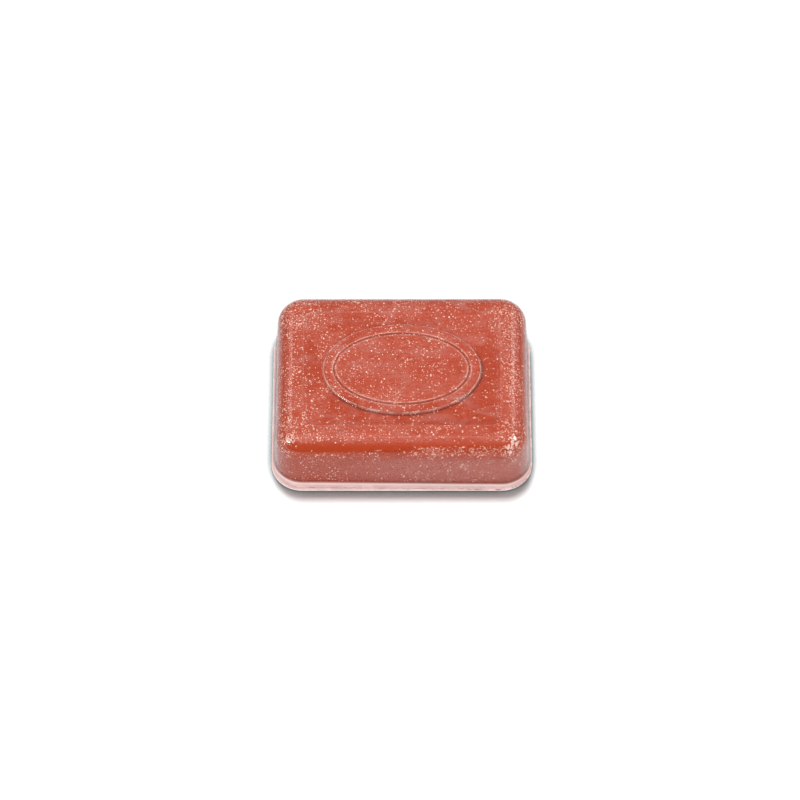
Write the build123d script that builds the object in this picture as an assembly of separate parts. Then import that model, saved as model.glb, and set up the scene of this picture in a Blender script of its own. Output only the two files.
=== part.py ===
from build123d import *

import os
from math import cos, radians, tan

# A block of chalk compound, cast into a thin clear formed tray and still seated in it. The tray
# stands open side down on its flange.
# Millimetres. +X runs along the length, +Y to the back and +Z up. The origin is the middle of the
# tray's footprint, on the plane that the flange rests on.

# Tray, outside sizes
LENGTH = 60.0            # X, over the flange
DEPTH = 47.0             # Y, over the flange
HEIGHT = 16.0            # Z, from under the flange to the top of the border
CORNER_RADIUS = 7.3      # corners of the flange in plan
FLANGE_LIP = 0.3         # how far the flange stands out from the foot of the wall
SHEET = 0.4              # thickness of the formed sheet
DRAFT = 3.0              # degrees that the walls lean in as they rise
TOP_EDGE_RADIUS = 5.0    # between the walls and the top
BEND_RADIUS = 0.2        # between the wall's foot and the flange

# Relief on the top: a border at full height, a lower panel, and a raised oval pad with one groove
STEP = 0.35              # how far the panel lies below the border, and the pad stands above the panel
BORDER = 7.3             # flange edge to panel edge, in plan
PANEL_CORNER = 2.4
PAD_LENGTH = 37.0
PAD_DEPTH = 26.0
GROOVE_INSET = 2.6       # pad edge to groove
GROOVE_WIDTH = 0.7
GROOVE_DEPTH = 0.12

# Block
SHRINK_GAP = 0.1         # left all round by the cast block as it cools and shrinks
FILL_LEVEL = 2.0         # the block's underside above the plane that the flange rests on
DISH_DEPTH = 0.7         # hollow that shrinkage leaves in the block's underside
DISH_DIAMETER = 36.0

# A step with a 45 degree side, followed by a skin deeper in the material, moves by this share of
# the skin's depth.
STEP_SIDE = 45.0
STEP_SHIFT = tan(radians(STEP_SIDE / 2))


def drafted_body(inset):
    """The tray's outer form without relief, with every face moved inwards by inset."""
    shift = FLANGE_LIP + inset / cos(radians(DRAFT))
    outline = RectangleRounded(LENGTH - 2 * shift, DEPTH - 2 * shift, CORNER_RADIUS - shift)
    body = extrude(outline, amount=HEIGHT - inset, taper=DRAFT)
    top_edges = body.faces().sort_by(Axis.Z)[-1].edges()
    return fillet(top_edges, TOP_EDGE_RADIUS - inset)


def panel_pocket(inset):
    """The space that the sunken panel takes from the top."""
    shift = BORDER - STEP_SHIFT * inset
    outline = RectangleRounded(LENGTH - 2 * shift, DEPTH - 2 * shift, PANEL_CORNER)
    return extrude(Pos(0, 0, HEIGHT - inset) * outline, amount=-STEP, taper=STEP_SIDE)


def emblem_pad(inset):
    """The plain oval pad that stands on the panel."""
    foot = STEP_SHIFT * inset
    foot_level = HEIGHT - inset - STEP
    base = Pos(0, 0, foot_level) * Ellipse(PAD_LENGTH / 2 - foot, PAD_DEPTH / 2 - foot)
    crown = Pos(0, 0, foot_level + STEP) * Ellipse(
        PAD_LENGTH / 2 - foot - STEP, PAD_DEPTH / 2 - foot - STEP
    )
    return loft([base.face(), crown.face()])


def formed_shape(inset):
    """The solid inside one skin of the tray: inset 0 is the outer skin and SHEET the inner one."""
    return drafted_body(inset) - panel_pocket(inset) + emblem_pad(inset)


def pad_groove():
    """The shallow oval groove in the pad's outer face."""
    outer = Ellipse(PAD_LENGTH / 2 - GROOVE_INSET, PAD_DEPTH / 2 - GROOVE_INSET)
    inner_inset = GROOVE_INSET + GROOVE_WIDTH
    inner = Ellipse(PAD_LENGTH / 2 - inner_inset, PAD_DEPTH / 2 - inner_inset)
    return extrude(Pos(0, 0, HEIGHT) * (outer - inner), amount=-GROOVE_DEPTH)


def clear_tray():
    """The formed sheet: walls, top with its relief, and the flange round the mouth."""
    flange = extrude(RectangleRounded(LENGTH, DEPTH, CORNER_RADIUS), amount=SHEET)
    outside = drafted_body(0) + flange
    bend = outside.edges().filter_by(lambda edge: is_bend(edge))
    outside = fillet(bend, BEND_RADIUS)
    outside = outside - panel_pocket(0) + emblem_pad(0) - pad_groove()
    return outside - formed_shape(SHEET)


def is_bend(edge):
    """True for the edges where the wall meets the top of the flange."""
    level = abs(edge.center().Z - SHEET) < 1e-3
    middle = edge.position_at(0.5)
    rim_x = LENGTH / 2 - abs(middle.X)
    rim_y = DEPTH / 2 - abs(middle.Y)
    on_corner = edge.geom_type == GeomType.CIRCLE
    radius = edge.radius if on_corner else 0
    inside = radius < CORNER_RADIUS - 0.1 if on_corner else min(rim_x, rim_y) > 0.1
    return level and inside


def chalk_block():
    """The casting: it fills the tray's inside down to the fill level, with a shallow dish below."""
    shape = formed_shape(SHEET + SHRINK_GAP)
    empty_skirt = Pos(0, 0, FILL_LEVEL / 2) * Box(LENGTH, DEPTH, FILL_LEVEL)
    half_width = DISH_DIAMETER / 2
    dish_radius = (half_width**2 + DISH_DEPTH**2) / (2 * DISH_DEPTH)
    dish = Pos(0, 0, FILL_LEVEL + DISH_DEPTH - dish_radius) * Sphere(dish_radius)
    return shape - empty_skirt - dish


NODES = {
    "clear_tray": clear_tray,
    "chalk_block": chalk_block,
}

os.makedirs("parts", exist_ok=True)
for name, make in NODES.items():
    export_step(make(), f"parts/{name}.step")
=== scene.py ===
"""Looks for a cast block of red chalk compound in its clear formed tray.

Shapes are worked out in millimetres and scaled to metres when a mesh is made. The frame is the
CAD part's: +X along the length, +Y to the back, +Z up, origin under the middle of the tray.
"""

import math

import bpy
import numpy as np
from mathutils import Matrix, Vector, noise
from mathutils.geometry import delaunay_2d_cdt


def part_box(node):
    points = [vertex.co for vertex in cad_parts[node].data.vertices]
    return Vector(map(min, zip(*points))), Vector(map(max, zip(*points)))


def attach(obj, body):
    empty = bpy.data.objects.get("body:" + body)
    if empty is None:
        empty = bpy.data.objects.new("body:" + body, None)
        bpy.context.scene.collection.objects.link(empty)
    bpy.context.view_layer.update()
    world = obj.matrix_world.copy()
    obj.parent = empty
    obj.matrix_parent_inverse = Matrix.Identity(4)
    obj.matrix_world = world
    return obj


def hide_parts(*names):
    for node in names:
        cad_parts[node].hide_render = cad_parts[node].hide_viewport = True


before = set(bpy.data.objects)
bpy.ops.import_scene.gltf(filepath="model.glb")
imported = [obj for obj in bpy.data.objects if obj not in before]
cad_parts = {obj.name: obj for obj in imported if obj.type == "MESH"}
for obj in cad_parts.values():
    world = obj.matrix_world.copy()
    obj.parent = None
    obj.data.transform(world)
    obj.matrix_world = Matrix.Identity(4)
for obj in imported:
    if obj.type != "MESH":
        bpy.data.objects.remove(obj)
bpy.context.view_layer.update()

MM = 0.001
rng = np.random.default_rng(41)

# ---------------------------------------------------------------- sizes, in millimetres

HALF_LENGTH, HALF_DEPTH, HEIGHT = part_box("clear_tray")[1] / MM
FILL_LEVEL = (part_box("chalk_block")[0] / MM).z

CORNER_RADIUS = 7.3        # corners of the flange in plan
FLANGE_LIP = 0.3           # how far the flange stands out from the foot of the wall
SHEET = 0.4                # thickness of the sheet at the flange
DRAWN_THINNER = 0.17       # and how much thinner the walls and the top are drawn
DRAFT = math.radians(3.0)  # how far the walls lean in
TOP_RADIUS = 5.0           # between walls and top
BEND_RADIUS = 0.2          # between wall and flange
EDGE_INSET = 0.06          # room for the rounding of the flange's cut edge
EDGE_BULGE = 0.05          # how far that rounding stands out

STEP = 0.35                # the panel lies this far below the border and the pad
PANEL_SLOPE = 1.7          # width in plan over which the panel's edge rises
PAD_SLOPE = 0.36           # the same for the pad's edge
PANEL_INSET = 7.3          # flange edge to panel edge
PANEL_CORNER = 2.4
PAD_HALF_LENGTH = 18.5
PAD_HALF_DEPTH = 13.0
GROOVE_INSET = 2.95        # pad edge to the middle of its groove
GROOVE_HALF_WIDTH = 0.4
GROOVE_DEPTH = 0.12
TOP_FROM = HEIGHT - 1.5    # the top with its relief fades in over a millimetre from this height up

BLOCK_GAP = 0.06           # between the block and the tray, where the casting has let go of it
FILL_FALL = 0.013          # the pour leans: its edge falls by this share towards the right
RIM_PROFILE = (            # inset and rise of the rings round the poured face's raised rim
    (0.15, 0.02), (0.4, 0.22), (0.8, 0.42), (1.4, 0.56), (2.4, 0.64),
)
DISH_DEPTH = 0.75          # hollow in the middle of the poured face
DISH_SLOPE = 17.0          # width over which the hollow deepens

BUBBLES = 3600
BUBBLE_SIDES = 9
BUBBLE_POINTS = 2 + 2 * BUBBLE_SIDES
BUBBLE_RISE = 0.045        # how far a bubble's skin stands above the casting's
BUBBLE_WIDTH = 0.105       # half the width of a middling bubble
NARROWEST, WIDEST = 0.06, 0.30
LONGEST = 0.60             # half length of the longest bubble

SKIRT_TOP = 2.50           # up to this height a pale veil of painted light covers the empty skirt below the block
BEND_LINE = 0.70           # height of the painted dark line of shade where the sheet bends into its flange
FRONT_EDGE = -19.5         # the rounded front edge lies in front of this, along Y

# ---------------------------------------------------------------- plan outlines

ARC_STEPS = 18             # round each corner
LONG_STEPS = 84            # along the front and the back
SHORT_STEPS = 60           # along the left and right sides


def rounded_outline(half_x, half_y, radius):
    """Points round a rounded rectangle, the same number in the same places for every size."""
    corners = [(1, 1), (-1, 1), (-1, -1), (1, -1)]
    points = []
    for turn, (sx, sy) in enumerate(corners):
        centre = np.array([sx * (half_x - radius), sy * (half_y - radius)])
        for k in range(ARC_STEPS + 1):
            angle = math.pi / 2 * (turn + k / ARC_STEPS)
            points.append(centre + radius * np.array([math.cos(angle), math.sin(angle)]))
        following = corners[(turn + 1) % 4]
        next_centre = np.array([following[0] * (half_x - radius), following[1] * (half_y - radius)])
        angle = math.pi / 2 * (turn + 1)
        start = points[-1]
        end = next_centre + radius * np.array([math.cos(angle), math.sin(angle)])
        steps = LONG_STEPS if turn % 2 == 0 else SHORT_STEPS
        for k in range(1, steps):
            points.append(start + (end - start) * k / steps)
    return np.array(points)


def plan_ring(inset, radius=None):
    """The outline at a distance inside the flange's edge."""
    corner = max(CORNER_RADIUS - inset, 0.05) if radius is None else radius
    return rounded_outline(HALF_LENGTH - inset, HALF_DEPTH - inset, corner)


RING_COUNT = len(plan_ring(0.0))


def ellipse_ring(inset, count):
    """Points round the pad, or round an oval at a distance inside its edge."""
    angles = np.linspace(0, 2 * math.pi, count, endpoint=False)
    a, b = PAD_HALF_LENGTH - inset, PAD_HALF_DEPTH - inset
    return np.stack([a * np.cos(angles), b * np.sin(angles)], 1)


# ---------------------------------------------------------------- relief and unevenness


def smoothstep(x):
    """0 up to 0 and 1 from 1 on, with a smooth rise between."""
    x = np.clip(x, 0, 1)
    return x * x * (3 - 2 * x)


def rounded_distance(p, half_x, half_y, radius):
    """Distance outside a rounded rectangle, negative inside."""
    q = np.abs(p) - np.array([half_x - radius, half_y - radius])
    outside = np.hypot(*np.maximum(q, 0).T)
    return outside + np.minimum(q.max(1), 0) - radius


def ellipse_distance(p, a, b):
    """Near the edge, the distance outside an ellipse."""
    k = np.hypot(p[:, 0] / a, p[:, 1] / b)
    slope = np.hypot(p[:, 0] / a**2, p[:, 1] / b**2)
    return k * (k - 1) / np.maximum(slope, 1e-6)


def panel_distance(p):
    """Distance outside the edge of the sunken panel, negative inside."""
    return rounded_distance(p, HALF_LENGTH - PANEL_INSET, HALF_DEPTH - PANEL_INSET, PANEL_CORNER)


def pad_distance(p):
    """Distance outside the pad's foot, negative inside."""
    return ellipse_distance(p, PAD_HALF_LENGTH, PAD_HALF_DEPTH)


def relief(p):
    """Height of the top's outer face above the border, for points in plan."""
    panel = -STEP * smoothstep(-panel_distance(p) / PANEL_SLOPE)
    pad = STEP * smoothstep(-pad_distance(p) / PAD_SLOPE)
    groove_offset = np.abs(pad_distance(p) + GROOVE_INSET) / GROOVE_HALF_WIDTH
    groove = -GROOVE_DEPTH * (1 - smoothstep(groove_offset))
    return panel + pad + groove


def field(points, size, seed):
    """Smooth unevenness from -1 to 1 over 3-D points, with features of the given size."""
    shift = Vector((seed * 17.3, seed * 5.1, seed * 9.7))
    return np.array([noise.noise(Vector(p) / size + shift) for p in points])


def sheet_warp(points):
    """How far the formed sheet lies inside its true shape: thin sheet is never quite flat."""
    slow = 0.5 + 0.5 * field(points, 16.0, 1)
    quick = 0.5 + 0.5 * field(points, 5.0, 2)
    return 0.10 * slow + 0.03 * quick


# ---------------------------------------------------------------- how the casting meets the sheet

WET_PATCHES = (            # ellipses on the top: middle x and y, half sizes x and y
    (19.6, 0.5, 2.8, 8.5),
    (12.5, -11.2, 10.0, 4.4),
    (-15.0, -10.5, 5.5, 3.0),
    (-5.0, 14.0, 5.5, 2.2),
    (13.0, 17.2, 9.0, 2.4),
    (-21.0, 2.0, 2.4, 5.0),
)
# Front corners with larger, paler bubbles: foam, and a painted glint.
FOAM_AND_GLINT_CORNERS = ((-25.9, -20.0, 15.1), (25.4, -19.5, 15.2), (24.7, -21.8, 13.5))
AIRY_CORNERS = (           # ellipses, given as the wet patches are
    (-24.0, 16.5, 5.0, 4.6),
    (24.5, 15.0, 4.2, 6.0),
    (25.5, -2.0, 2.0, 9.0),
    (-26.0, -18.5, 3.4, 4.4),
    (25.5, -18.5, 4.0, 4.4),
)


def soft_spots(plan, spots):
    """1 inside any of the ellipses and 0 well outside them."""
    share = np.zeros(len(plan))
    for x, y, half_x, half_y in spots:
        reach = np.hypot((plan[:, 0] - x) / half_x, (plan[:, 1] - y) / half_y)
        share = np.maximum(share, smoothstep((1.3 - reach) / 0.6))
    return share


def near(distance, middle, width):
    """1 where a distance equals the middle value, falling to 0 over about the width."""
    return np.exp(-(((distance - middle) / width) ** 2))


def share_on_top(points):
    """1 on the top with its relief, fading to 0 down the rounded edge."""
    return smoothstep(points[:, 2] - TOP_FROM)


def front_seam_and_reflection(points):
    """The wet streak along the front top edge, its darkness partly a painted reflection of the tent's
    dark opening: a wedge, deep at the left and thin at the right.
    """
    x, y, z = points.T
    rightward = smoothstep((x + 16.0) / 26.0)
    low = 12.9 + 1.55 * rightward
    inside = smoothstep((z - low) / 0.5 + 0.5) * smoothstep((14.9 - z) / 0.16 + 0.5)
    return inside * smoothstep((FRONT_EDGE - y) / 0.8) * smoothstep((28.0 - np.abs(x)) / 2.0)


def speckled_edge(points):
    """The rounded edge under the front streak's thin end, on the right, full of small bubbles."""
    x, y, z = points.T
    below = smoothstep((14.5 - z) / 0.3) * smoothstep((z - 11.8) / 0.5)
    return below * smoothstep((x + 1.0) / 8.0) * smoothstep((FRONT_EDGE - y) / 0.8)


def contact(points):
    """How closely the casting lies on the sheet, from 0, let go, to 1, wetted.

    It is closer in the patches, and on the walls, most of all on the left. It is looser on the pad,
    on the border and in the speckled edge.
    """
    plan = points[:, :2]
    on_top = share_on_top(points)
    level = 0.50 * field(points, 9.0, 11) + 0.45 * field(points, 3.4, 12) - 0.05
    level += 0.45 * soft_spots(plan, WET_PATCHES) * on_top
    level += (1 - on_top) * (0.75 - 0.45 * smoothstep((points[:, 0] + 6.0) / 30.0))
    level -= 0.32 * smoothstep(-pad_distance(plan) / 0.8) * on_top
    level -= 0.20 * smoothstep(panel_distance(plan) / 0.5) * on_top
    # The front streak counts as wetted; its darkness is partly a painted reflection of the tent's
    # dark opening.
    level += 1.2 * front_seam_and_reflection(points) - 1.5 * speckled_edge(points)
    return smoothstep((level + 0.30) / 0.70)


def trapped_air(points):
    """How thickly small bubbles lie in the casting's skin, from 0 to 1.

    They are thicker in clumps, on the border, in the airy corners and in the speckled edge, and
    thinner where the casting is wetted, low on the left walls and along the front streak.
    """
    plan = points[:, :2]
    high = smoothstep((points[:, 2] - 9.0) / 3.0)
    clumps = field(points, 5.0, 21) + 0.5 * field(points, 2.0, 22)
    border = smoothstep(panel_distance(plan) / 1.5 + 0.4)
    level = 0.34 + 0.34 * clumps + 0.18 * border + 0.75 * soft_spots(plan, AIRY_CORNERS) * high
    level -= 0.005 * points[:, 0] + 0.20 * contact(points)
    level -= 0.25 * (1 - high) * smoothstep((4.0 - points[:, 0]) / 8.0)
    level += 0.6 * speckled_edge(points)
    return np.clip(level, 0.10, 1) * (1 - 0.9 * front_seam_and_reflection(points))


def unfilled_and_highlit_edges(points):
    """Pale lines along the relief's sharp edges: air where the casting hasn't run into them, and a
    painted highlight.
    """
    plan = points[:, :2]
    on_top = share_on_top(points)
    depth = -pad_distance(plan)
    groove_edges = near(np.abs(depth - GROOVE_INSET), 0.38, 0.10)
    panel_edge = 0.12 * near(panel_distance(plan), -0.05, 0.15)
    return on_top * np.clip(near(depth, 0.30, 0.11) + 0.6 * groove_edges + panel_edge, 0, 1)


def pad_foot_and_groove_shade(points):
    """Painted shade: at the foot of the pad, on its front and right sides, and down the middle of its
    groove.
    """
    plan = points[:, :2]
    outward = plan / np.array([PAD_HALF_LENGTH**2, PAD_HALF_DEPTH**2])
    outward /= np.maximum(np.linalg.norm(outward, axis=1), 1e-9)[:, None]
    away = smoothstep(0.35 + 0.35 * outward[:, 0] - 0.8 * outward[:, 1])
    on_top = share_on_top(points)
    groove = 0.6 * near(pad_distance(plan), -GROOVE_INSET, 0.14)
    return on_top * (away * near(pad_distance(plan), 0.10, 0.17) + groove)


# ---------------------------------------------------------------- mesh parts


def joined_rings(first, rings, count):
    """Quads between rings of vertices numbered one after another from first."""
    faces = []
    for r in range(rings - 1):
        for k in range(count):
            a = first + r * count + k
            b = first + r * count + (k + 1) % count
            faces.append((a, b, b + count, a + count))
    return faces


def plane_lattice(half_x, half_y, pitch):
    """Points in a triangular lattice over a rectangle."""
    row_gap = pitch * math.sqrt(3) / 2
    points = []
    for j in range(-int(half_y / row_gap), int(half_y / row_gap) + 1):
        offset = 0.5 * pitch * (j % 2)
        for i in range(-int(half_x / pitch) - 1, int(half_x / pitch) + 2):
            points.append((i * pitch + offset, j * row_gap))
    return np.array(points)


def thinned(points, kept, gap):
    """The points that are more than a gap away from all the kept ones."""
    clear = np.ones(len(points), bool)
    chunk = 500            # kept points at a time, to spare memory
    for first in range(0, len(kept), chunk):
        d = points[:, None, :] - kept[None, first:first + chunk, :]
        clear &= (np.hypot(d[..., 0], d[..., 1]) > gap).all(1)
    return points[clear]


def triangulated(boundary, inner):
    """Triangles over the convex boundary ring and the points inside it. Keeps their numbering."""
    points = [Vector(p) for p in boundary] + [Vector(p) for p in inner]
    count = len(boundary)
    edges = [(k, (k + 1) % count) for k in range(count)]
    _, _, faces, sources, _, _ = delaunay_2d_cdt(points, edges, [], 1, 1e-5)
    assert len(sources) == len(points), "two points of a flat part fell together"
    return [tuple(sources[i][0] for i in face) for face in faces]


def face_normals(points, faces):
    """Vertex normals, weighted by area."""
    normals = np.zeros_like(points)
    for size in (3, 4):
        chosen = np.array([f for f in faces if len(f) == size])
        if not len(chosen):
            continue
        a, b, c = (points[chosen[:, k]] for k in range(3))
        if size == 4:
            n = np.cross(points[chosen[:, 2]] - a, points[chosen[:, 3]] - b)
        else:
            n = np.cross(b - a, c - a)
        for k in range(size):
            np.add.at(normals, chosen[:, k], n)
    return normals / np.maximum(np.linalg.norm(normals, axis=1), 1e-12)[:, None]


def renumbered(faces, ring_first, inner_first):
    """Triangulated faces, the ring's points and the inner ones numbered from a first of their own."""
    return [
        tuple(ring_first + i if i < RING_COUNT else inner_first + i - RING_COUNT for i in face)
        for face in faces
    ]


def make_object(name, points, faces, smooth=True, values=None):
    """A mesh object from points in millimetres, with named values per point for its material."""
    mesh = bpy.data.meshes.new(name)
    mesh.from_pydata([tuple(p) for p in points * MM], [], faces)
    for key, numbers in (values or {}).items():
        mesh.attributes.new(key, "FLOAT", "POINT").data.foreach_set("value", numbers)
    mesh.validate()
    mesh.update()
    for polygon in mesh.polygons:
        polygon.use_smooth = smooth
    obj = bpy.data.objects.new(name, mesh)
    bpy.context.scene.collection.objects.link(obj)
    return obj


# ---------------------------------------------------------------- the formed shape

FILLET_CENTRE_Z = HEIGHT - TOP_RADIUS
FILLET_INSET = FLANGE_LIP + FILLET_CENTRE_Z * math.tan(DRAFT) + TOP_RADIUS / math.cos(DRAFT)
FILLET_STEPS = 24
WALL_STEPS = 16
BEND_STEPS = 6
TOP_PITCH = 0.55           # between the points of the flat top, away from the relief's slopes
POURED_PITCH = 0.9         # and of the poured face
PANEL_ROWS = (-0.2, 0.05, 0.3, 0.5, 0.7, 0.9, 1.1, 1.3, 1.5, 1.7, 1.95)     # inside its edge
PAD_ROWS = (-0.30, -0.20, -0.10, 0.0, 0.12, 0.20, 0.28, 0.36, 0.45, 0.6)    # inside its edge
GROOVE_ROWS = (-0.52, -0.38, -0.25, -0.12, 0.0, 0.12, 0.25, 0.38, 0.52)     # from its middle


def wall_inset(z):
    """How far the wall lies inside the flange's edge at a height."""
    return FLANGE_LIP + z * math.tan(DRAFT)


def flange_profile():
    """Inset and height from the flange's edge, over its top and up the bend to the wall."""
    bend_z = SHEET + BEND_RADIUS
    bend_inset = wall_inset(bend_z) - BEND_RADIUS / math.cos(DRAFT)
    profile = [(EDGE_INSET, SHEET), ((EDGE_INSET + bend_inset) / 2, SHEET)]
    for k in range(BEND_STEPS + 1):
        angle = -math.pi / 2 + (math.pi / 2 - DRAFT) * k / BEND_STEPS
        profile.append((
            bend_inset + BEND_RADIUS * math.cos(angle),
            bend_z + BEND_RADIUS * math.sin(angle),
        ))
    return profile


def fillet_profile():
    """Inset and height over the rounded top edge, from the wall to the flat top."""
    profile = []
    for k in range(FILLET_STEPS + 1):
        angle = (math.pi - DRAFT) + (DRAFT - math.pi / 2) * k / FILLET_STEPS
        profile.append((
            FILLET_INSET + TOP_RADIUS * math.cos(angle),
            FILLET_CENTRE_Z + TOP_RADIUS * math.sin(angle),
        ))
    return profile


def ring_at(inset, z):
    """A level ring of points, at a distance inside the flange's edge."""
    ring = plan_ring(inset)
    return np.column_stack([ring, np.full(len(ring), z)])


def wall_rings(low):
    """Rings up the wall from a height for each point of the outline, without the topmost one."""
    top = fillet_profile()[0][1]
    outer, inner = plan_ring(0.0), plan_ring(1.0)
    rings = []
    for k in range(WALL_STEPS):
        z = low + (top - low) * k / WALL_STEPS
        inset = wall_inset(z)[:, None]
        plan = outer + (inner - outer) * inset
        rings.append(np.column_stack([plan, z]))
    return rings


def flat_top_distance(p):
    """Distance outside the flat top, where the rounded edge begins, negative inside."""
    half_x, half_y = HALF_LENGTH - FILLET_INSET, HALF_DEPTH - FILLET_INSET
    return rounded_distance(p, half_x, half_y, CORNER_RADIUS - FILLET_INSET)


def top_points():
    """Points of the top inside its outermost ring: rows along the relief's slopes, and a lattice."""
    rings = []
    for offset in PANEL_ROWS:
        rings.append(plan_ring(PANEL_INSET + offset, PANEL_CORNER - offset))
    for inset in PAD_ROWS:
        rings.append(ellipse_ring(inset, 340))
    for offset in GROOVE_ROWS:
        rings.append(ellipse_ring(GROOVE_INSET + offset, 280))
    features = np.concatenate(rings)
    boundary = plan_ring(FILLET_INSET)
    lattice = plane_lattice(HALF_LENGTH, HALF_DEPTH, TOP_PITCH)
    lattice = lattice[flat_top_distance(lattice) < -0.3]
    on_slope = np.zeros(len(lattice), bool)
    for depth, low, high in (
        (-panel_distance(lattice), -0.25, 2.0),
        (-pad_distance(lattice), -0.4, 0.7),
        (-pad_distance(lattice) - GROOVE_INSET, -0.6, 0.6),
    ):
        on_slope |= (depth > low) & (depth < high)
    lattice = lattice[~on_slope]
    lattice = thinned(lattice, np.concatenate([features, boundary]), 0.25)
    return np.concatenate([features, lattice])


TOP_POINTS = top_points()
TOP_FACES = triangulated(plan_ring(FILLET_INSET), TOP_POINTS)


def formed_skin(first_rings):
    """The outer skin from the given rings, over the rounded edge and the top: points and faces."""
    rings = first_rings + [ring_at(inset, z) for inset, z in fillet_profile()]
    points = np.concatenate(rings)
    faces = joined_rings(0, len(rings), RING_COUNT)
    last = (len(rings) - 1) * RING_COUNT
    first_top = len(points)
    heights = HEIGHT + relief(TOP_POINTS)
    points = np.concatenate([points, np.column_stack([TOP_POINTS, heights])])
    return points, faces + renumbered(TOP_FACES, last, first_top)


def sheet_thickness(points):
    """The formed sheet is full thickness at the flange and drawn thinner above it."""
    return SHEET - DRAWN_THINNER * smoothstep((points[:, 2] - 0.8) / 1.6)


def warped(points, faces):
    """The skin with the sheet's unevenness, which fades out at the flange, and its normals."""
    normals = face_normals(points, faces)
    fade = smoothstep((points[:, 2] - 0.5) / 3.0)
    points = points - normals * (sheet_warp(points) * fade)[:, None]
    return points, face_normals(points, faces)


# ---------------------------------------------------------------- pieces


def make_tray():
    """The clear sheet: outer skin, the same skin one thickness further in, and a rounded cut edge."""
    low = np.full(RING_COUNT, flange_profile()[-1][1])
    flange = [ring_at(inset, z) for inset, z in flange_profile()[:-1]]
    points, faces = formed_skin(flange + wall_rings(low))
    outer, normals = warped(points, faces)
    inner = outer - normals * sheet_thickness(outer)[:, None]
    inner[:, 2] = np.maximum(inner[:, 2], 0.0)
    count = len(outer)
    faces = faces + [tuple(count + i for i in reversed(face)) for face in faces]
    edge = []              # three rings round the cut edge, from the upper face to the lower one
    for angle in (0.3 * math.pi, 0.5 * math.pi, 0.7 * math.pi):
        inset = EDGE_INSET - EDGE_BULGE * math.sin(angle)
        edge.append(ring_at(inset, SHEET / 2 * (1 + math.cos(angle))))
    first = 2 * count
    chain = [0, first, first + RING_COUNT, first + 2 * RING_COUNT, count]
    for upper, lower in zip(chain, chain[1:]):
        for k in range(RING_COUNT):
            following = (k + 1) % RING_COUNT
            faces.append((upper + following, upper + k, lower + k, lower + following))
    obj = make_object("tray_sheet", np.concatenate([outer, inner] + edge), faces)
    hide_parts("clear_tray")
    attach(obj, "tray")
    return obj


def fill_line():
    """The height at which the cast block stops, round the outline."""
    ring = ring_at(FLANGE_LIP, 0.0)
    return FILL_LEVEL - FILL_FALL * ring[:, 0] + 0.05 * field(ring, 5.0, 6)


def make_block():
    """The casting: the tray's inside face, moved in a little, and the open face it was poured at."""
    points, faces = formed_skin(wall_rings(fill_line()))
    outer, normals = warped(points, faces)
    skin = outer - normals * (sheet_thickness(outer) + BLOCK_GAP)[:, None]
    skin_faces = list(faces)
    plan, level = skin[:RING_COUNT, :2], skin[:RING_COUNT, 2]
    rim = []
    for inset, rise in RIM_PROFILE:
        shrunk = plan * (1 - inset / np.hypot(plan[:, 0], plan[:, 1]))[:, None]
        rim.append(np.column_stack([shrunk, level + rise]))
    count = len(skin)
    for k in range(RING_COUNT):
        following = (k + 1) % RING_COUNT
        faces.append((following, k, count + k, count + following))
    faces += [tuple(reversed(f)) for f in joined_rings(count, len(rim), RING_COUNT)]
    poured, poured_faces = underside(rim[-1][:, :2], rim[-1][:, 2])
    last = count + (len(rim) - 1) * RING_COUNT
    faces += [tuple(reversed(f)) for f in renumbered(poured_faces, last, last + RING_COUNT)]
    points = np.concatenate([skin] + rim + [poured])
    below_sheet = np.concatenate([outer, points[count:]])
    on_border = share_on_top(below_sheet) * smoothstep(panel_distance(below_sheet[:, :2]) / 0.4)
    values = {
        "contact": contact(below_sheet),
        "air": trapped_air(below_sheet),
        "border": on_border,
        "unfilled_and_highlight": unfilled_and_highlit_edges(below_sheet),
        "crease_shade": pad_foot_and_groove_shade(below_sheet),
    }
    obj = make_object("cast_block", points, faces, values=values)
    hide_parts("chalk_block")
    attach(obj, "block")
    return obj, make_bubbles(skin, skin_faces)


def underside(boundary, level):
    """The poured face inside its raised rim: a shallow dish with the skin of a cooled casting."""
    lattice = plane_lattice(HALF_LENGTH, HALF_DEPTH, POURED_PITCH)
    half_x, half_y = np.abs(boundary).max(0)
    corner = 4.0
    inside = rounded_distance(lattice, half_x, half_y, corner) < -0.6
    lattice = thinned(lattice[inside], boundary, 0.5)
    faces = triangulated(boundary, lattice)
    reach = -rounded_distance(lattice, half_x, half_y, corner)
    dish = DISH_DEPTH * smoothstep(reach / DISH_SLOPE)
    cooled = 0.10 * field(np.column_stack([lattice, np.zeros(len(lattice))]), 7.0, 8)
    rim_level = FILL_LEVEL + RIM_PROFILE[-1][1]
    inward = smoothstep(reach / 3.0)
    closest = np.array([level[np.argmin(np.hypot(*(boundary - p).T))] for p in lattice])
    z = closest * (1 - inward) + rim_level * inward + dish + cooled * inward
    return np.column_stack([lattice, z]), faces


def bubble_places(points, faces):
    """Points of the casting's outer skin for bubbles, with normals, more of them where air is."""
    triangles = np.array([f[:3] for f in faces] + [(f[0], f[2], f[3]) for f in faces if len(f) == 4])
    a, b, c = (points[triangles[:, k]] for k in range(3))
    across = np.cross(b - a, c - a)
    area = np.linalg.norm(across, axis=1)
    middles = (a + b + c) / 3
    air = trapped_air(middles) ** 1.3
    for corner in FOAM_AND_GLINT_CORNERS:
        air += 2.3 * near(np.linalg.norm(middles - corner, axis=1), 0.0, 1.3)
    chosen = rng.choice(len(triangles), BUBBLES, p=area * air / (area * air).sum())
    u, v = rng.random(BUBBLES), rng.random(BUBBLES)
    over = u + v > 1
    u[over], v[over] = 1 - u[over], 1 - v[over]
    places = a[chosen] + u[:, None] * (b - a)[chosen] + v[:, None] * (c - a)[chosen]
    return places, across[chosen] / area[chosen][:, None]


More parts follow.
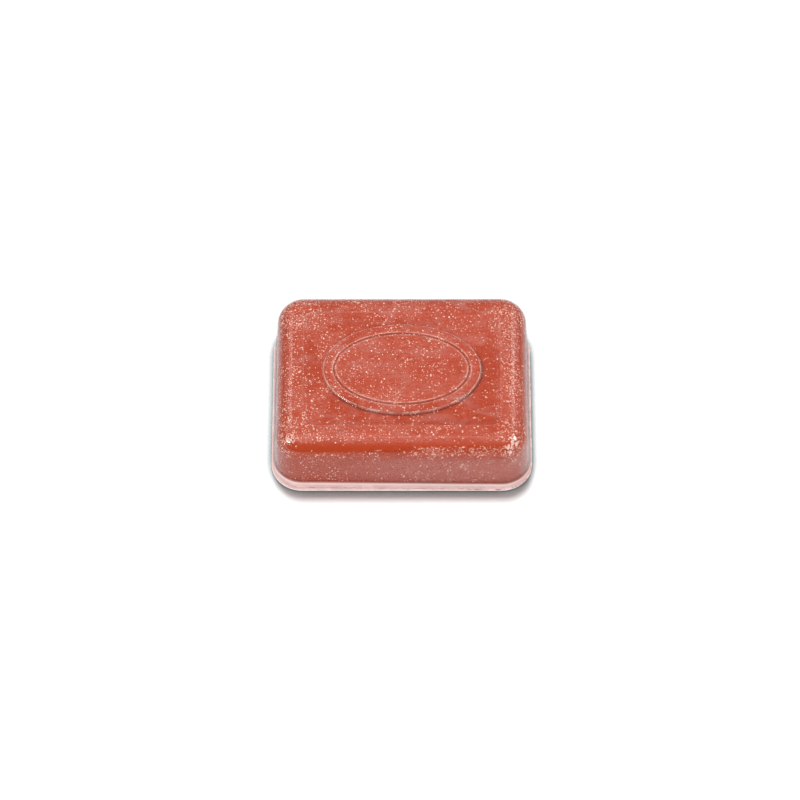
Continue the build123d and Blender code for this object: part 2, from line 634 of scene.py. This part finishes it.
def bubble(place, normal, half_width, half_length, turn):
    """The points of a low closed lens on the skin, longer than wide, with an uneven rim."""
    side = np.cross(normal, (0.0, 1.0, 0.2))
    side /= np.linalg.norm(side)
    other = np.cross(normal, side)
    side, other = (
        math.cos(turn) * side + math.sin(turn) * other,
        math.cos(turn) * other - math.sin(turn) * side,
    )
    points = [place + normal * BUBBLE_RISE]
    for share, rise in ((0.62, 0.8), (1.0, 0.0)):
        for k in range(BUBBLE_SIDES):
            angle = 2 * math.pi * k / BUBBLE_SIDES
            uneven = share * (1 + 0.18 * math.sin(2 * angle + 5 * turn))
            out = half_length * math.cos(angle) * side + half_width * math.sin(angle) * other
            points.append(place + uneven * out + normal * (BUBBLE_RISE * rise))
    points.append(place - normal * BUBBLE_RISE)
    return points


def bubble_faces(first):
    """The faces of one bubble, outwards, its vertices numbered from first."""
    faces = []
    last = first + BUBBLE_POINTS - 1
    for k in range(BUBBLE_SIDES):
        following = (k + 1) % BUBBLE_SIDES
        inner, inner_next = first + 1 + k, first + 1 + following
        rim, rim_next = inner + BUBBLE_SIDES, inner_next + BUBBLE_SIDES
        faces += [(first, inner, inner_next), (inner, rim, rim_next, inner_next)]
        faces.append((last, rim_next, rim))
    return faces


def make_bubbles(skin, skin_faces):
    """Small bubbles of trapped air in the casting's skin. Those on the top follow its relief. Those
    at the front corners are larger, and paler as a painted glint.
    """
    places, normals = bubble_places(skin, skin_faces)
    widths = rng.lognormal(math.log(BUBBLE_WIDTH), 0.36, BUBBLES)
    widths = np.clip(widths, NARROWEST, WIDEST)
    lengths = widths * (1 + rng.random(BUBBLES) ** 3 * 1.1)
    turns = rng.random(BUBBLES) * math.pi
    foam_and_glint = sum(near(np.linalg.norm(places - corner, axis=1), 0.0, 1.4) for corner in FOAM_AND_GLINT_CORNERS)
    widths *= 1 + 0.6 * foam_and_glint
    lengths = np.minimum(lengths * (1 + 0.6 * foam_and_glint), LONGEST)
    on_top = (flat_top_distance(places[:, :2]) < 0) & (places[:, 2] > FILLET_CENTRE_Z)
    normals[on_top] = (0.0, 0.0, 1.0)
    points, faces = [], []
    for k in range(BUBBLES):
        faces += bubble_faces(len(points))
        points += bubble(places[k], normals[k], widths[k], lengths[k], turns[k])
    points = np.array(points)
    centres = np.repeat(places, BUBBLE_POINTS, axis=0)
    following = relief(points[:, :2]) - relief(centres[:, :2])
    points[:, 2] += np.where(np.repeat(on_top, BUBBLE_POINTS), following, 0.0)
    values = {"foam_and_glint": np.repeat(np.minimum(foam_and_glint, 1), BUBBLE_POINTS)}
    obj = make_object("air_bubbles", points, faces, values=values)
    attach(obj, "block")
    return obj


# ---------------------------------------------------------------- materials


def new_material(name):
    """A material with an empty node tree."""
    material = bpy.data.materials.new(name)
    material.use_nodes = True
    material.node_tree.nodes.clear()
    return material


class Nodes:
    """Short ways to add and join shader nodes."""

    def __init__(self, material):
        self.tree = material.node_tree

    def add(self, kind, settings=None, **inputs):
        """A new node. An underscore in an input's name stands for a space."""
        node = self.tree.nodes.new(kind)
        for key, value in (settings or {}).items():
            setattr(node, key, value)
        for key, value in inputs.items():
            self.put(node.inputs[key.replace("_", " ")], value)
        return node

    def put(self, socket, value):
        """Links a socket to another one, or gives it a plain value."""
        if isinstance(value, bpy.types.NodeSocket):
            self.tree.links.new(value, socket)
        else:
            socket.default_value = value

    def math(self, operation, *numbers, clamp=False):
        """The result of one sum on sockets or plain numbers."""
        node = self.add("ShaderNodeMath", {"operation": operation, "use_clamp": clamp})
        for socket, number in zip(node.inputs, numbers):
            self.put(socket, number)
        return node.outputs[0]

    def span(self, value, low, high, to_low=0.0, to_high=1.0):
        """value from low to high, smoothly turned into to_low to to_high and held there."""
        node = self.add(
            "ShaderNodeMapRange", {"interpolation_type": "SMOOTHSTEP"},
            Value=value, From_Min=low, From_Max=high, To_Min=to_low, To_Max=to_high,
        )
        return node.outputs["Result"]

    def noise(self, where, size, detail=3.0, roughness=0.55, distortion=0.0):
        """Noise around 0.5, with features of the given size in millimetres."""
        node = self.add(
            "ShaderNodeTexNoise", Vector=where, Scale=1 / (size * MM), Detail=detail,
            Roughness=roughness, Distortion=distortion,
        )
        return node.outputs["Fac"]

    def cells(self, where, size):
        """Distance from the nearest of many scattered points, in cell sizes, and its two numbers."""
        node = self.add("ShaderNodeTexVoronoi", Vector=where, Scale=1 / (size * MM))
        split = self.add("ShaderNodeSeparateColor", Color=node.outputs["Color"])
        return node.outputs["Distance"], split.outputs[0], split.outputs[1]

    def mix(self, share, first, second):
        """The first colour, with a share of the second."""
        node = self.add("ShaderNodeMix", {"data_type": "RGBA"})
        self.put(node.inputs[0], share)
        self.put(node.inputs[6], first)
        self.put(node.inputs[7], second)
        return node.outputs[2]

    def blend(self, share, first, second):
        """The first shader, with a share of the second."""
        node = self.add("ShaderNodeMixShader")
        for socket, value in zip(node.inputs, (share, first, second)):
            self.put(socket, value)
        return node.outputs[0]

    def finish(self, shader):
        """Makes the shader the material's surface."""
        output = self.add("ShaderNodeOutputMaterial")
        self.tree.links.new(shader, output.inputs["Surface"])


WHITE = (1, 1, 1, 1)

WET_RED = (0.350, 0.037, 0.010, 1)         # the compound where it has wetted the sheet
DRY_RED = (0.390, 0.057, 0.028, 1)         # and where it has let go of it
PALE_RED = (0.46, 0.130, 0.084, 1)
DEEP_RED = (0.25, 0.018, 0.007, 1)
SEAM_AND_REFLECTION_RED = (0.385, 0.048, 0.016, 1)        # wet lines along the front edge, and a painted reflection of the tent's dark opening
SHADE_RED = (0.06, 0.008, 0.005, 1)        # painted shade at the foot of the pad and in its groove
AIR_PINK = (0.78, 0.42, 0.32, 1)
# the palest bubbles, and the painted highlight along the relief's edges
AIR_AND_HIGHLIGHT_WHITE = (0.92, 0.66, 0.56, 1)

BUBBLE_DARK = (0.52, 0.19, 0.135, 1)
BUBBLE_PALE = (0.80, 0.50, 0.40, 1)
# paler bubbles at the front corners, partly a painted glint
FOAM_AND_GLINT_PINK = (0.84, 0.70, 0.64, 1)

CLEAR = (0.98, 0.98, 0.98, 1)              # what the sheet lets through, seen head on
CLEAR_SKIMMED = (0.82, 0.83, 0.84, 1)      # and seen at a slant
SKIRT_LIGHT_UPPER = (0.76, 0.56, 0.54, 1)        # painted light in the empty skirt, near the block
SKIRT_LIGHT_LOWER = (0.73, 0.49, 0.46, 1)
SKIRT_LIGHT_STREAK = (0.80, 0.61, 0.59, 1)
SKIRT_EDGE_RED = (0.48, 0.165, 0.13, 1)             # the sheet just above the skirt, dull red where the painted light fades out
CUT_EDGE_LIGHT = (0.93, 0.77, 0.75, 1)           # the flange's cut edge, with painted light on it
# painted shade along the bend
BEND_SHADE = (0.36, 0.14, 0.16, 1)

FLOOR_SHADE = (0.02, 0.11, 0.12, 1)
FLOOR_WHITE = (0.94, 0.94, 0.94, 1)
TENT_WHITE = (0.46, 0.46, 0.46, 1)
TENT_OPENING = (0.02, 0.02, 0.02, 1)

UNEVENNESS = 0.2 * MM      # height of the fine unevenness that both materials show
HEAD_ON_MIRROR = 0.020     # what one face of the clear sheet mirrors of a ray that meets it head on
GRAZING_MIRROR = 0.50      # and what it adds of one that skims it


def specks(n, where, air, size, share, reach):
    """Small round marks: air times share of the cells hold one, of up to reach cell sizes."""
    distance, number, other = n.cells(where, size)
    bare = n.math("SUBTRACT", 1.0, n.math("MULTIPLY", air, share))
    present = n.math("GREATER_THAN", number, bare)
    radius = n.math("MULTIPLY", n.span(other, 0.0, 1.0, 0.4 * reach, reach), present)
    return n.math("MULTIPLY", n.math("SUBTRACT", radius, distance), 10.0, clamp=True)


def bubble_marks(n, where, air, colour, pale, size, share, reach):
    """Small bubbles under the skin: each a pale mark with its dark shadow just in front of it."""
    away = 0.8 * reach * size * MM
    in_front = n.add("ShaderNodeMapping", Vector=where, Location=(0.3 * away, away, away)).outputs[0]
    shadow = n.math("MULTIPLY", specks(n, in_front, air, size, share, reach), 0.85)
    colour = n.mix(shadow, colour, DEEP_RED)
    return n.mix(specks(n, where, air, size, share, reach), colour, pale)


def ring_marks(n, where, air, size, radius, width):
    """Thin rings, as a round bubble's outline shows, in a few of the cells."""
    distance, number, other = n.cells(where, size)
    off = n.math("ABSOLUTE", n.math("SUBTRACT", distance, radius))
    line = n.math("SUBTRACT", 1.0, n.math("DIVIDE", off, width), clamp=True)
    present = n.span(n.math("ADD", n.math("MULTIPLY", air, 0.5), number), 1.12, 1.20)
    return n.math("MULTIPLY", line, present)


def squiggles(n, where, size, width):
    """Short thin curved marks, along the level lines of a noise, kept in a few places only."""
    level = n.noise(where, size, 2.0, 0.5, 0.8)
    off = n.math("ABSOLUTE", n.math("SUBTRACT", level, 0.5))
    line = n.math("SUBTRACT", 1.0, n.math("DIVIDE", off, width), clamp=True)
    kept = n.span(n.noise(where, size * 1.7, 2.0), 0.54, 0.66)
    return n.math("MULTIPLY", line, kept)


def thin_streak(n, x, z, left, right, start_level, end_level, half_width):
    """A thin line over the front edge, from x left to right, its height changing evenly."""
    level = n.add(
        "ShaderNodeMapRange", Value=x, From_Min=left, From_Max=right,
        To_Min=start_level, To_Max=end_level,
    )
    off = n.math("ABSOLUTE", n.math("SUBTRACT", z, level.outputs["Result"]))
    line = n.span(off, half_width + 0.12, half_width - 0.06)
    within = n.math("MULTIPLY", n.span(x, left, left + 4.0), n.span(x, right, right - 3.0))
    return n.math("MULTIPLY", line, within)


def front_streaks_and_reflection(n, where):
    """Wet marks along the front edge, partly a painted reflection of the tent's dark opening: a long
    line, its fork, a line at its foot, and a wedge.
    """
    split = n.add("ShaderNodeSeparateXYZ", Vector=where)
    x, y, z = (n.math("DIVIDE", split.outputs[name], MM) for name in "XYZ")
    wander = n.math("MULTIPLY_ADD", n.noise(where, 4.0, 2.0), 0.5, z)
    z = n.math("SUBTRACT", wander, 0.25)       # the noise around 0.5 moves it by nothing on average
    # From x, to x, from height, to height, half width
    long = thin_streak(n, x, z, -12.0, 28.5, 14.28, 14.50, 0.20)
    fork = thin_streak(n, x, z, -12.0, 7.0, 14.25, 13.10, 0.13)
    foot = thin_streak(n, x, z, 5.0, 24.0, 11.8, 12.1, 0.12)
    low = n.math("MULTIPLY_ADD", n.span(x, -22.0, 5.0), 2.2, 11.9)
    wedge = n.math("MULTIPLY", n.span(z, low, n.math("ADD", low, 0.6)), n.span(z, 14.5, 14.2))
    wedge = n.math("MULTIPLY", wedge, n.span(n.math("ABSOLUTE", x), 27.5, 25.5))
    lines = n.math("MAXIMUM", long, n.math("MAXIMUM", fork, n.math("MULTIPLY", foot, 0.6)))
    lines = n.math("MAXIMUM", lines, n.math("MULTIPLY", wedge, 0.8))
    return n.math("MULTIPLY", lines, n.span(y, FRONT_EDGE + 0.1, FRONT_EDGE - 0.3))


def compound_material():
    """Cast red compound behind the sheet: wetted patches, paler let-go areas, and small bubbles."""
    material = new_material("red_compound")
    n = Nodes(material)
    where = n.add("ShaderNodeTexCoord").outputs["Object"]
    touch, air, border, unfilled_and_highlight, crease_shade = (
        n.add("ShaderNodeAttribute", {"attribute_name": name}).outputs["Fac"]
        for name in ("contact", "air", "border", "unfilled_and_highlight", "crease_shade")
    )
    streaked = n.add("ShaderNodeMapping", Vector=where, Scale=(0.35, 1.0, 1.0)).outputs[0]
    ragged = n.math("MULTIPLY_ADD", n.noise(streaked, 1.5, 5.0, 0.7, 1.6), 1.5, touch)
    wet = n.span(ragged, 0.85, 1.60)
    colour = n.mix(wet, DRY_RED, WET_RED)
    mottled = n.span(wet, 0.0, 1.0, 1.0, 0.55)
    swirl = n.span(n.noise(streaked, 1.9, 5.0, 0.68, 1.8), 0.44, 0.70, 0.0, 0.36)
    colour = n.mix(n.math("MULTIPLY", swirl, mottled), colour, PALE_RED)
    colour = n.mix(n.math("MULTIPLY", border, 0.06), colour, PALE_RED)
    grain = n.noise(where, 0.50, 3.0, 0.7)
    paler = n.span(grain, 0.50, 0.72, 0.0, 0.60)
    colour = n.mix(n.math("MULTIPLY", paler, mottled), colour, PALE_RED)
    colour = n.mix(n.span(grain, 0.47, 0.30, 0.0, 0.62), colour, DEEP_RED)
    colour = n.mix(n.span(n.noise(where, 6.0, 3.0), 0.45, 0.70, 0.0, 0.5), colour, WET_RED)
    for pale, size, share, reach in (
        (AIR_PINK, 0.46, 0.90, 0.37),
        (AIR_PINK, 0.66, 0.80, 0.32),
        (AIR_AND_HIGHLIGHT_WHITE, 1.00, 0.70, 0.23),
    ):
        colour = bubble_marks(n, where, air, colour, pale, size, share, reach)
    colour = n.mix(ring_marks(n, where, air, 1.7, 0.20, 0.06), colour, AIR_PINK)
    lines = n.math("MULTIPLY", squiggles(n, where, 1.1, 0.022), n.span(air, 0.1, 0.6, 0.1, 0.3))
    colour = n.mix(lines, colour, AIR_PINK)
    # Painted reflection of the tent's dark opening, together with wet marks, along the front edge.
    colour = n.mix(front_streaks_and_reflection(n, where), colour, SEAM_AND_REFLECTION_RED)
    broken = n.span(n.noise(where, 1.6, 3.0), 0.35, 0.60, 0.20, 1.0)
    # Painted shade at the pad's foot and in its groove.
    colour = n.mix(n.math("MULTIPLY", crease_shade, 0.85), colour, SHADE_RED)
    # Pale lines along the relief's edges: trapped air and a painted highlight.
    colour = n.mix(n.math("MULTIPLY", unfilled_and_highlight, broken), colour, AIR_AND_HIGHLIGHT_WHITE)
    bump = n.add(
        "ShaderNodeBump", Strength=0.3, Distance=UNEVENNESS, Height=n.noise(where, 0.8, 3.0)
    )
    surface = n.add(
        "ShaderNodeBsdfPrincipled", Base_Color=colour, Roughness=n.span(wet, 0, 1, 0.55, 0.35),
        Specular_IOR_Level=0.15, Normal=bump.outputs["Normal"],
    )
    n.finish(surface.outputs["BSDF"])
    return material


def bubble_material():
    """The pale skin over trapped air, paler at the front corners, where it is also a painted glint.
    """
    material = new_material("air_pink")
    n = Nodes(material)
    where = n.add("ShaderNodeTexCoord").outputs["Object"]
    paleness = n.span(n.noise(where, 0.9, 2.0), 0.35, 0.65)
    colour = n.mix(paleness, BUBBLE_DARK, BUBBLE_PALE)
    foam_and_glint = n.add("ShaderNodeAttribute", {"attribute_name": "foam_and_glint"}).outputs["Fac"]
    colour = n.mix(n.math("MULTIPLY", foam_and_glint, 0.6), colour, FOAM_AND_GLINT_PINK)
    surface = n.add(
        "ShaderNodeBsdfPrincipled", Base_Color=colour, Roughness=0.3, Specular_IOR_Level=0.4,
    )
    n.finish(surface.outputs["BSDF"])
    return material


def skirt_height(n, where):
    """Millimetres above the flange's plane, evened out so that the poured edge has one height."""
    split = n.add("ShaderNodeSeparateXYZ", Vector=where)
    height = n.math("DIVIDE", split.outputs["Z"], MM)
    return n.math("ADD", height, n.math("MULTIPLY", split.outputs["X"], FILL_FALL / MM))


def skirt_light_veil(n, where, height):
    """How much a pale veil of painted light hides of the sheet, standing in for the light that comes
    through the empty skirt and covering the shade under the block's edge: all round the empty skirt,
    in places less, and in ragged patches low on the left and right walls.
    """
    veil = n.span(height, SKIRT_TOP + 0.50, SKIRT_TOP - 0.05, 0.0, 0.97)
    cloudy = n.span(n.noise(where, 2.5, 3.0, 0.6), 0.35, 0.65, 0.85, 1.0)
    below_edge = n.span(height, 1.9, 1.5)
    veil = n.math("MULTIPLY", veil, n.mix(below_edge, WHITE, cloudy))
    # Painted light also covers the shade low on the side walls.
    across = n.add("ShaderNodeSeparateXYZ", Vector=where).outputs["X"]
    beside = n.span(n.math("ABSOLUTE", across), 26.5 * MM, 29.4 * MM)
    fading = n.math("ADD", height, n.span(n.noise(where, 4.0, 3.0), 0.3, 0.7, -1.0, 1.0))
    drawn = n.math("MULTIPLY", beside, n.span(fading, 5.5, 1.5, 0.0, 0.50))
    return n.math("MAXIMUM", veil, drawn)


def skirt_light_colour(n, where, height):
    """Painted light: pale pink, duller lower down, for the light that comes through the clear skirt
    and out of the red block. It has a pale cut edge painted as lit, a thin broken dark line of
    painted shade at the bend, and a dull red band above it, where the sheet meets the block.
    """
    drawn = n.add("ShaderNodeMapping", Vector=where, Scale=(0.3, 0.3, 1.0)).outputs[0]
    lower = n.span(height, 2.0, 1.4)
    colour = n.mix(lower, SKIRT_LIGHT_UPPER, SKIRT_LIGHT_LOWER)
    smeared = n.span(n.noise(drawn, 1.0, 4.0, 0.6), 0.40, 0.62)
    colour = n.mix(n.math("MULTIPLY", smeared, 0.6), colour, SKIRT_LIGHT_STREAK)
    above = n.span(height, SKIRT_TOP - 0.35, SKIRT_TOP + 0.10, 0.0, 0.9)
    red_band = n.math("MULTIPLY", above, n.span(height, SKIRT_TOP + 0.90, SKIRT_TOP + 0.50))
    colour = n.mix(red_band, colour, SKIRT_EDGE_RED)
    level = n.add("ShaderNodeSeparateXYZ", Vector=where).outputs["Z"]
    # Painted light: the flange's cut edge is made pale as if lit.
    lit_cut_edge = n.span(level, 0.42 * MM, 0.34 * MM)
    colour = n.mix(lit_cut_edge, colour, CUT_EDGE_LIGHT)
    # Painted shade: a thin broken dark line at the bend.
    line = n.span(n.math("ABSOLUTE", n.math("SUBTRACT", height, BEND_LINE)), 0.14, 0.04, 0.0, 0.8)
    present = n.span(n.noise(drawn, 0.45, 4.0, 0.65), 0.46, 0.56)
    return n.mix(n.math("MULTIPLY", line, present), colour, BEND_SHADE)


def residue(n, where):
    """How much the sheet hides by faint smears on the top, and by a haze low on the walls that
    grows to the right.
    """
    smeared = n.add("ShaderNodeMapping", Vector=where, Scale=(0.5, 1.0, 1.0)).outputs[0]
    veil = n.span(n.noise(smeared, 3.5, 5.0, 0.62, 0.8), 0.46, 0.72, 0.0, 0.045)
    split = n.add("ShaderNodeSeparateXYZ", Vector=where)
    on_top = n.math("MULTIPLY", veil, n.span(split.outputs["Z"], 14.9 * MM, 15.4 * MM))
    rightward = n.span(split.outputs["X"], -22.0 * MM, 8.0 * MM, 0.006, 0.043)
    on_walls = n.math("MULTIPLY", rightward, n.span(split.outputs["Z"], 12.0 * MM, 10.0 * MM))
    return n.math("MAXIMUM", on_top, on_walls)


def sheet_material():
    """Clear formed sheet: it passes nearly all light and mirrors by its angle, with faint smears, and
    a pale veil of painted light over the empty skirt.
    """
    material = new_material("clear_sheet")
    n = Nodes(material)
    where = n.add("ShaderNodeTexCoord").outputs["Object"]
    bump = n.add(
        "ShaderNodeBump", Strength=0.15, Distance=UNEVENNESS, Height=n.noise(where, 3.0, 2.0)
    ).outputs["Normal"]
    turned = n.add("ShaderNodeLayerWeight", Blend=0.5, Normal=bump).outputs["Facing"]
    steep = n.math("POWER", turned, 5.0)
    mirrored = n.math("MULTIPLY_ADD", steep, GRAZING_MIRROR, HEAD_ON_MIRROR)
    gloss = n.add("ShaderNodeBsdfGlossy", Color=WHITE, Roughness=0.08, Normal=bump)
    slant = n.add("ShaderNodeLayerWeight", Blend=0.5).outputs["Facing"]
    passed = n.mix(n.math("POWER", slant, 3.0), CLEAR, CLEAR_SKIMMED)
    clear = n.add("ShaderNodeBsdfTransparent", Color=passed)
    height = skirt_height(n, where)
    # Painted light: the pale pink skirt stands in for light through the clear skirt and out of the
    # red block.
    painted_skirt_light = n.add("ShaderNodeBsdfDiffuse", Color=skirt_light_colour(n, where, height))
    veil = n.math("MAXIMUM", skirt_light_veil(n, where, height), residue(n, where))
    body = n.blend(veil, clear.outputs[0], painted_skirt_light.outputs[0])
    n.finish(n.blend(mirrored, body, gloss.outputs[0]))
    return material


def floor_material():
    """A white sweep, with a painted contact shadow right where something stands on it."""
    material = new_material("pale_floor")
    n = Nodes(material)
    # Painted contact shadow: the floor's colour darkens where ambient occlusion finds the object
    # close by.
    above = n.add("ShaderNodeAmbientOcclusion", {"samples": 8}, Distance=3.6 * MM)
    open_floor = n.span(above.outputs["AO"], 0.46, 0.91)
    colour = n.mix(open_floor, FLOOR_SHADE, FLOOR_WHITE)
    surface = n.add("ShaderNodeBsdfPrincipled", Base_Color=colour, Roughness=0.9)
    n.finish(surface.outputs["BSDF"])
    return material


# ---------------------------------------------------------------- studio

FLOOR_REACH = 1500.0       # from the middle to each side, in mm

# Lamps, in metres and degrees: name, azimuth, elevation, distance, width, height, radiance. Azimuth
# 0 is behind the object, and 90 to its right.
# These light only the object, and it mirrors them.
MIRRORED_LAMPS = (
    ("overhead", 180, 77, 0.45, 0.26, 0.42, 0.36),
    ("overhead_strip", 180, 82, 0.45, 0.26, 0.05, 1.1),
    ("back_left", -41, 39, 0.6, 0.10, 0.30, 1.8),
    ("back_right", 41, 39, 0.6, 0.10, 0.30, 1.9),
    ("glint_left", -117.3, 26.5, 0.6, 0.13, 0.13, 14.0),
    ("glint_right", 101.3, 39.9, 0.6, 0.13, 0.13, 14.0),
)
# Nothing mirrors these. The first lights only the floor, and the other two only the object.
FLOOR_LAMP = ("floor_key", -7, 74, 0.8, 0.14, 0.14, 102.0)
OBJECT_LAMPS = (
    ("key", -3, 75, 0.8, 0.14, 0.14, 57.3),
    ("fill", 180, 38, 0.8, 0.30, 0.20, 21.0),
)
LAMP_TARGET = (0, 0, 0.01)

CAMERA_ELEVATION = math.radians(54.0)
CAMERA_DISTANCE = 1.132    # metres
CAMERA_TARGET = (-0.43, 1.55, 1.13)        # mm, as the lens and the sensor
FOCAL_LENGTH = 219.4
SENSOR_WIDTH = 36.0


def make_floor():
    """A large flat floor at the height that the flange rests on."""
    signs = ((-1, -1), (1, -1), (1, 1), (-1, 1))
    corners = np.array([(FLOOR_REACH * x, FLOOR_REACH * y, 0) for x, y in signs])
    floor = make_object("floor", corners, [(0, 1, 2, 3)], smooth=False)
    floor.data.materials.append(floor_material())
    return floor


def aimed(obj, place, target):
    """Puts a lamp or camera at a place, looking at a target."""
    obj.location = place
    obj.rotation_euler = (Vector(target) - Vector(place)).to_track_quat("-Z", "Y").to_euler()


def add_softbox(name, azimuth, elevation, distance, width, height, radiance):
    """A rectangular lamp of even brightness, aimed at the object."""
    data = bpy.data.lights.new(name, "AREA")
    data.shape = "RECTANGLE"
    data.size = width
    data.size_y = height
    data.energy = radiance * math.pi * width * height
    lamp = bpy.data.objects.new(name, data)
    bpy.context.scene.collection.objects.link(lamp)
    a, e = math.radians(azimuth), math.radians(elevation)
    place = distance * Vector((math.sin(a) * math.cos(e), math.cos(a) * math.cos(e), math.sin(e)))
    aimed(lamp, place, LAMP_TARGET)
    return lamp


def make_world():
    """A white tent with a dark opening on the front side."""
    world = bpy.data.worlds.new("tent")
    world.use_nodes = True
    world.node_tree.nodes.clear()
    n = Nodes(world)
    way = n.add("ShaderNodeTexCoord").outputs["Generated"]
    split = n.add("ShaderNodeSeparateXYZ", Vector=way)
    front = n.span(split.outputs["Y"], -0.35, -0.62)
    low = n.span(split.outputs["Z"], 0.72, 0.60)
    opening = n.math("MULTIPLY", front, low)
    colour = n.mix(opening, TENT_WHITE, TENT_OPENING)
    background = n.add("ShaderNodeBackground", Color=colour, Strength=1.0)
    output = n.add("ShaderNodeOutputWorld")
    n.tree.links.new(background.outputs[0], output.inputs["Surface"])
    bpy.context.scene.world = world


def make_camera():
    """A long lens, well above the front edge."""
    data = bpy.data.cameras.new("camera")
    data.sensor_width = SENSOR_WIDTH
    data.lens = FOCAL_LENGTH
    data.clip_start = 0.05
    camera = bpy.data.objects.new("camera", data)
    bpy.context.scene.collection.objects.link(camera)
    target = Vector(CAMERA_TARGET) * MM
    back = Vector((0.0, -math.cos(CAMERA_ELEVATION), math.sin(CAMERA_ELEVATION)))
    aimed(camera, target + CAMERA_DISTANCE * back, target)
    bpy.context.scene.camera = camera


def lights_only(lamp, objects):
    """Keeps a lamp's light on the given objects."""
    group = bpy.data.collections.new(lamp.name + "_lights")
    for obj in objects:
        group.objects.link(obj)
    lamp.light_linking.receiver_collection = group


def make_studio(pieces):
    """Floor, surroundings, lamps and camera."""
    floor = make_floor()
    make_world()
    for settings in MIRRORED_LAMPS:
        lights_only(add_softbox(*settings), pieces)
    for settings, lit in [(FLOOR_LAMP, [floor])] + [(lamp, pieces) for lamp in OBJECT_LAMPS]:
        lamp = add_softbox(*settings)
        lights_only(lamp, lit)
        lamp.visible_glossy = False
    make_camera()
    bpy.context.scene.view_settings.view_transform = "Standard"


tray = make_tray()
tray.data.materials.append(sheet_material())
block, bubbles = make_block()
block.data.materials.append(compound_material())
bubbles.data.materials.append(bubble_material())
make_studio([tray, block, bubbles])
